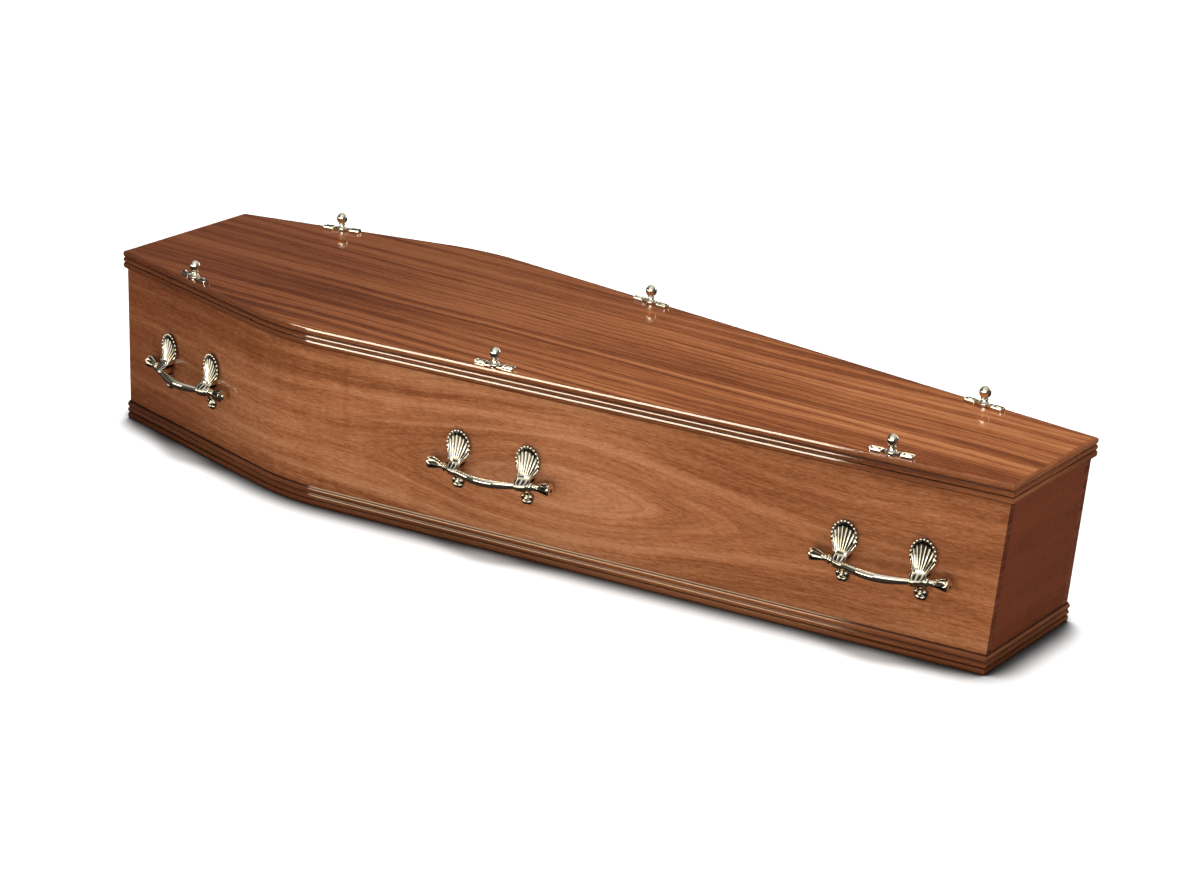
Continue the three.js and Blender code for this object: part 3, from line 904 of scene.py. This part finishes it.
def addCollar(shape, end):
    axis = barAxis(lugMiddle)[0]
    hole = handle["neck"] + lug["clearance"]
    front = axis + hole + lug["collarWall"]
    steps = lug["collarFlutes"] * lug["collarFluteSteps"]
    rows = []
    for up, reach, wide, fluted in collarSections(axis, hole, front):
        back = max(box["seam"], reach - wide * lug["collarSlope"])
        # painted shade on the neck sides and in the flutes
        ring = [(onWall(-lug["neckHalf"], box["seam"], up), lug["neckShade"])]
        for step in range(steps + 1):
            share = 2 * step / steps - 1
            rib = abs(math.cos(math.pi * lug["collarFlutes"] * share / 2)) ** 2
            s = wide * math.sin(share * math.pi / 2)
            bulge = (reach - back) * math.cos(share * math.pi / 2) ** lug["collarSquareness"]
            out = back + bulge - (1 - rib) * fluted * lug["collarFluteDepth"]
            bow = barAxis(end * lugMiddle + s)[0] - axis
            ring.append((onWall(s, out + bow * out / front, up), fluted * (1 - rib ** 2)))
        ring.append((onWall(lug["neckHalf"], box["seam"], up), lug["neckShade"]))
        rows.append(ring)
    shape.tube(rows)


# share of the radius, height out from the rim, depth of the creases
rosetteRings = [
    (1.0, None, 0), (1.0, 0.0, 0), (0.96, 0.0012, 0.3), (0.85, 0.0026, 0.8), (0.70, 0.0036, 1),
    (0.55, 0.0036, 1), (0.42, 0.0024, 0.8), (0.34, 0.0012, 0.2), (0.31, 0.0014, 0),
    (0.30, 0.0034, 0), (0.25, 0.0046, 0), (0.15, 0.0054, 0), (0.05, 0.0057, 0),
]


def addRosette(shape):
    steps = lug["petals"] * lug["petalSteps"]
    rows = []
    for share, out, crease in rosetteRings:
        ring = []
        for step in range(steps):
            around = 2 * math.pi * step / steps
            turn = math.pi / 2 + around  # the first petal points up
            valley = 1 - abs(math.cos(lug["petals"] * around / 2)) ** lug["petalEdge"]
            notch = lug["petalNotch"] * valley if share > 0.5 else 0
            reach = (lug["rosetteRadius"] - notch) * share
            depth = box["seam"]
            if out is not None:
                depth = lug["rosetteRim"] + out - lug["petalCrease"] * valley * crease
            # painted shade in the petals' creases
            shade = valley * crease
            if share > lug["bossShare"]:
                shade = max(lug["neckShade"], shade)
            up = reach * math.sin(turn) - lug["rosetteDrop"]
            ring.append((onWall(reach * math.cos(turn), depth, up), shade))
        rows.append(ring)
    shape.tube(rows)


def lugShape(end):
    shape = Shape()
    addShell(shape)
    addCollar(shape, end)
    addRosette(shape)
    return shape


def wallPlace(side, x, inset):
    onHeadRun = x < shoulderX
    half = headRunHalf(x, -inset) if onHeadRun else footRunHalf(x, -inset)
    slope = headAngle if onHeadRun else -footAngle
    return side * half, -slope if side < 0 else math.pi + slope


def stationX(look, station):
    if station in look["fromFoot"]:
        return footX - look["fromFoot"][station]
    return headX + look["fromHead"][station]


def placedAt(x, y, z, turn, shift=0.0):
    turned = Matrix.Rotation(turn, 4, "Z") @ Matrix.Translation((shift, 0, 0))
    return Matrix.Translation((x, y, z)) @ turned


def makeHandles():
    ends = {"a": -1, "b": 1}
    bar = makeMesh("handle bar", barShape(), plated, handle["sharp"])
    lugs = {letter: makeMesh(f"handle lug {letter}", lugShape(end), plated, lug["sharp"])
            for letter, end in ends.items()}
    for station in stations:
        x = stationX(handle, station)
        for sideName, side in sideSigns.items():
            y, turn = wallPlace(side, x, 0)
            name = f"handle_{station}_{sideName}"
            matrix = placedAt(x, y, handle["height"], turn)
            placePiece(f"{name}_grip", bar, "plated_metal", f"{name}_bar", matrix)
            for letter, end in ends.items():
                matrix = placedAt(x, y, handle["height"], turn, end * lugMiddle)
                placePiece(f"{name}_shell_{letter}", lugs[letter], "plated_metal",
                           f"{name}_lug_{letter}", matrix)


makeHandles()
print("handles made")


# lid screws

screw = {
    "fromHead": {"head": 0.217, "middle": 0.945},
    "fromFoot": {"foot": 0.216},
    "inset": 0.009,
    "plateHalf": 0.040,
    "plateWide": 0.007,
    "rim": 0.0016,
    "height": 0.0062,
    "edge": 0.0055,
    "recess": 0.0022,
    "corner": 0.0035,
    "neckWide": 0.0056,
    "tablet": (0.0050, 0.42),  # half length, and share of the half width
    "tabletDrop": 0.0008,
    "ribPitch": 0.0036,
    "leaf": 0.022,
    "boss": 0.012,
    "sides": 32,
    "crest": 0.0005,  # how far the top stands in from the edge
    "lengthSteps": 100,
    "acrossSteps": 14,
    "shade": 400,  # painted shade: darkening for each metre of depth between the ears
    "sharp": 40,
}
bossProfile = [
    (0.0, 0.0090), (0.0050, 0.0090), (0.0058, 0.0086), (0.0064, 0.0078), (0.0070, 0.0080),
    (0.0078, 0.0080), (0.0084, 0.0074), (0.0092, 0.0066), (0.0104, 0.0058), (0.0114, 0.0055),
    (0.0120, 0.0052),
]
finialProfile = [
    (0.0, 0.0052), (0.0006, 0.0068), (0.0012, 0.0074), (0.0020, 0.0072), (0.0026, 0.0056),
    (0.0030, 0.0047), (0.0035, 0.0048), (0.0040, 0.0060), (0.0048, 0.0074), (0.0062, 0.0087),
    (0.0080, 0.0097), (0.0100, 0.0102), (0.0120, 0.0104), (0.0140, 0.0103), (0.0160, 0.0099),
    (0.0178, 0.0090), (0.0196, 0.0077), (0.0212, 0.0062), (0.0224, 0.0045), (0.0233, 0.0029),
    (0.0238, 0.0015), (0.0240, 0.0004),
]
eared = {"from": 0.0003, "to": 0.0025, "count": 4, "depth": 0.0016}


def turnedRows(profile, ears=None):
    rows = []
    for z, radius in profile:
        ring = []
        for side in range(screw["sides"]):
            turn = 2 * math.pi * side / screw["sides"]
            cut = 0
            if ears and ears["from"] < z < ears["to"]:
                cut = ears["depth"] * (1 - abs(math.cos(ears["count"] * turn / 2)))
            reach = radius - cut
            point = Vector((reach * math.cos(turn), reach * math.sin(turn), z))
            ring.append((point, cut * screw["shade"]))
        rows.append(ring)
    return rows


def armWidth(s):
    leafStart = screw["plateHalf"] - screw["leaf"]
    corner = screw["corner"]
    fromTip = screw["plateHalf"] - s
    if fromTip < corner:
        return screw["plateWide"] - corner + math.sqrt(fromTip * (2 * corner - fromTip))
    if s > leafStart:
        return screw["plateWide"]
    return screw["neckWide"]


def armHeight(s, across):
    # across is a share of the half width; the second value returned is painted shade, full in the
    # leaves' hollows
    leafStart = screw["plateHalf"] - screw["leaf"]
    away = abs(across)
    if s > leafStart:
        fromEnd = min(s - leafStart, screw["plateHalf"] - s)
        if away > 1 - screw["rim"] / screw["plateWide"] or fromEnd < screw["rim"]:
            return screw["height"], 0
        tabletHalf, tabletShare = screw["tablet"]
        if abs(s - leafStart - screw["leaf"] / 2) < tabletHalf and away < tabletShare:
            return screw["height"] - screw["tabletDrop"], 0
        return screw["height"] - screw["recess"], 1
    groove = math.sin((leafStart - s) / screw["ribPitch"] * math.pi) ** 2
    return screw["height"] - screw["tabletDrop"] - screw["recess"] * groove / 2, groove


def plateShape():
    rows = []
    for step in range(screw["lengthSteps"] + 1):
        s = (2 * step / screw["lengthSteps"] - 1) * screw["plateHalf"]
        wide = armWidth(abs(s))
        row = [(Vector((s, -wide, 0)), 0), (Vector((s, -wide, screw["edge"])), 0)]
        for place in range(screw["acrossSteps"] + 1):
            across = 2 * place / screw["acrossSteps"] - 1
            height, depth = armHeight(abs(s), across)
            row.append((Vector((s, across * (wide - screw["crest"]), height)), depth))
        row += [(Vector((s, wide, screw["edge"])), 0), (Vector((s, wide, 0)), 0)]
        rows.append(row)
    shape = loftShape(rows)
    shape.tube(turnedRows(bossProfile))
    return shape


def makeLidScrews():
    plate = makeMesh("lid screw plate", plateShape(), plated, screw["sharp"])
    finialShape = loftShape(turnedRows(finialProfile, eared))
    finial = makeMesh("lid screw finial", finialShape, plated, screw["sharp"])
    plateZ = lidTop + box["seam"]
    finialZ = plateZ + screw["boss"] + box["seam"]
    for station in stations:
        x = stationX(screw, station)
        for sideName, side in sideSigns.items():
            y, turn = wallPlace(side, x, screw["inset"])
            which = f"{station}_{sideName}"
            placePiece(f"screw_plate_{which}", plate, "plated_metal",
                       f"lid_screw_plate_{which}", placedAt(x, y, plateZ, turn))
            placePiece(f"screw_finial_{which}", finial, "plated_metal",
                       f"lid_screw_{which}", placedAt(x, y, finialZ, turn))


makeLidScrews()
print("lid screws made")


# floor and light

studio = {
    "floorSize": 60,
    "floorTone": (0.92, 0.92, 0.92),
    "mirroredTone": (0.022, 0.019, 0.016),  # the floor as glossy surfaces see it
    "floorCloud": 0.7,  # counts a metre
    "floorFade": 0.99,  # its darker patches, as a share of the full tone
    "floorRoughness": 0.9,
    "floorShine": 0.1,
    "contact": 0.085,  # painted shadow: how near the coffin the floor is darkened
    "contactOpen": (0.50, 0.90),  # share of open sky from the darkest to the full tone
    "contactTone": 0.04,
    "sky": 0.50,
    "skyColour": (1.0, 0.99, 0.975, 1),
    # grey that glossy surfaces see, by height
    "mirroredSky": [(0.00, 0.16), (0.30, 0.07), (0.44, 0.04), (0.62, 0.30), (0.82, 0.60), (1.0, 0.9)],
    "sun": {"power": 3.4, "spread": 22, "travel": (0.050, -0.090, -1)},
}
lights = {
    "front": {"place": (1.4, -3.4, 1.6), "aim": (0.2, 0, 0.2), "size": (2.5, 1.5), "power": 28,
              "colour": (1, 0.98, 0.95), "shines": "diffuse"},
    # cards that only the metal mirrors, "egg" just the lid screws and "kerb" just the lugs
    "low": {"place": (-1.45, -4.0, 1.1), "aim": (0, 0, 0.3), "size": (2.6, 0.9), "power": 40,
            "colour": (1, 0.93, 0.82), "shines": "glossy", "only": "plated_metal"},
    "near": {"place": (2.0, -3.4, 2.5), "aim": (0, 0, 0.3), "size": (4.2, 1.9), "power": 70,
             "colour": (1, 0.96, 0.90), "shines": "glossy", "only": "plated_metal"},
    "left": {"place": (-4.2, -2.7, 1.2), "aim": (-4.2, 0, 0.2), "size": (2.4, 1.4), "power": 32,
             "colour": (1, 0.94, 0.84), "shines": "glossy", "only": "plated_metal"},
    "egg": {"place": (1.2, -3.0, 2.2), "aim": (1.2, 0, 0.4), "size": (4.6, 3.6), "power": 88,
            "colour": (1, 0.96, 0.90), "shines": "glossy", "only": "lid_screw"},
    "kerb": {"place": (-0.4, -0.86, 0.19), "aim": (-0.4, 0, 0.19), "size": (2.8, 0.36), "power": 4.2,
             "colour": (1, 0.95, 0.88), "shines": "glossy", "only": "_lug_"},
    # the same for the far side
    "back": {"place": (0.4, 3.8, 1.3), "aim": (0.4, 0, 0.3), "size": (4.4, 1.5), "power": 36,
             "colour": (1, 0.95, 0.88), "shines": "glossy", "only": "plated_metal"},
    "behind": {"place": (-2.4, 3.5, 1.9), "aim": (0, 0, 0.38), "size": (1.6, 1.0), "power": 6,
               "colour": (1, 0.92, 0.76), "shines": "glossy", "only": "plated_metal"},
    # strong strips that only the mouldings mirror
    "strip": {"place": (-1.75, -4.0, 1.2), "aim": (0, 0, 0.3), "size": (2.5, 1.9), "power": 390,
              "colour": (1, 0.86, 0.66), "shines": "glossy", "only": "lid_moulding"},
    "topStrip": {"place": (-1.25, -0.9, 2.4), "aim": (0, -0.2, 0.3), "size": (2.2, 1.8), "power": 500,
                 "colour": (1, 0.86, 0.66), "shines": "glossy", "only": "lid_moulding"},
    "baseStrip": {"place": (-1.75, -4.0, 1.6), "aim": (0, 0, 0.0), "size": (2.5, 1.1), "power": 125,
                  "colour": (1, 0.74, 0.46), "shines": "glossy", "only": "base_moulding"},
}


def makeFloor():
    half = studio["floorSize"] / 2
    corners = [(-half, -half, 0), (half, -half, 0), (half, half, 0), (-half, half, 0)]
    mesh = bpy.data.meshes.new("floor")
    mesh.from_pydata(corners, [], [(0, 1, 2, 3)])
    material, tree, shader = newMaterial("floor paper")
    place = addNode(tree, "ShaderNodeTexCoord").outputs["Object"]
    cloud = noise(tree, place, scale=studio["floorCloud"], detail=2)
    faded = tuple(part * studio["floorFade"] for part in studio["floorTone"])
    colour = ramp(tree, cloud, [(0.3, faded), (0.7, studio["floorTone"])])
    # painted contact shadow: the floor darkens where little open sky reaches it
    nearby = {"Distance": studio["contact"]}
    openness = addNode(tree, "ShaderNodeAmbientOcclusion", nearby).outputs["AO"]
    contact = spread(tree, openness, *studio["contactOpen"], studio["contactTone"], 1.0)
    colour = blended(tree, 1.0, colour, joined(tree, contact, contact, contact), "MULTIPLY")
    mirrored = addNode(tree, "ShaderNodeLightPath").outputs["Is Glossy Ray"]
    colour = blended(tree, mirrored, colour, (*studio["mirroredTone"], 1))
    tree.links.new(colour, shader.inputs["Base Color"])
    shader.inputs["Roughness"].default_value = studio["floorRoughness"]
    shader.inputs["Specular IOR Level"].default_value = studio["floorShine"]
    mesh.materials.append(material)
    floor = bpy.data.objects.new("floor", mesh)
    bpy.context.scene.collection.objects.link(floor)


def makeSky():
    world = bpy.data.worlds.new("studio")
    world.use_nodes = True
    tree = world.node_tree
    place = addNode(tree, "ShaderNodeTexCoord").outputs["Generated"]
    height = addNode(tree, "ShaderNodeSeparateXYZ", {0: place}).outputs[2]
    mirrored = ramp(tree, height, [(stop, (grey, grey, grey)) for stop, grey in studio["mirroredSky"]])
    glossy = addNode(tree, "ShaderNodeLightPath").outputs["Is Glossy Ray"]
    even = studio["sky"]
    strength = blended(tree, glossy, (even, even, even, 1), mirrored)
    background = tree.nodes["Background"]
    background.inputs["Color"].default_value = studio["skyColour"]
    tree.links.new(strength, background.inputs["Strength"])
    bpy.context.scene.world = world


def makeSun():
    look = studio["sun"]
    data = bpy.data.lights.new("sun", "SUN")
    data.energy = look["power"]
    data.angle = math.radians(look["spread"])
    sun = bpy.data.objects.new("sun", data)
    sun.rotation_mode = "QUATERNION"
    sun.rotation_quaternion = Vector(look["travel"]).to_track_quat("-Z", "Y")
    sun.visible_glossy = False
    bpy.context.scene.collection.objects.link(sun)


def makeLight(name, look):
    data = bpy.data.lights.new(name, "AREA")
    data.shape = "RECTANGLE"
    data.size, data.size_y = look["size"]
    data.energy = look["power"]
    data.color = look["colour"]
    light = bpy.data.objects.new(name, data)
    # the long side runs along the coffin
    towards = Vector(look["aim"]) - Vector(look["place"])
    back = Vector((0, -towards.y, -towards.z)).normalized()
    right = Vector((1, 0, 0))
    turned = Matrix((right, back.cross(right), back)).transposed().to_4x4()
    light.matrix_world = Matrix.Translation(look["place"]) @ turned
    light.visible_diffuse = look["shines"] == "diffuse"
    light.visible_glossy = look["shines"] == "glossy"
    light.visible_camera = False
    if "only" in look:
        light.light_linking.receiver_collection = receivers[look["only"]]
    bpy.context.scene.collection.objects.link(light)


placeCamera()
makeFloor()
makeSky()
makeSun()
for lightName, lightLook in lights.items():
    makeLight(lightName, lightLook)
bpy.context.scene.view_settings.view_transform = "Standard"
print("studio made")
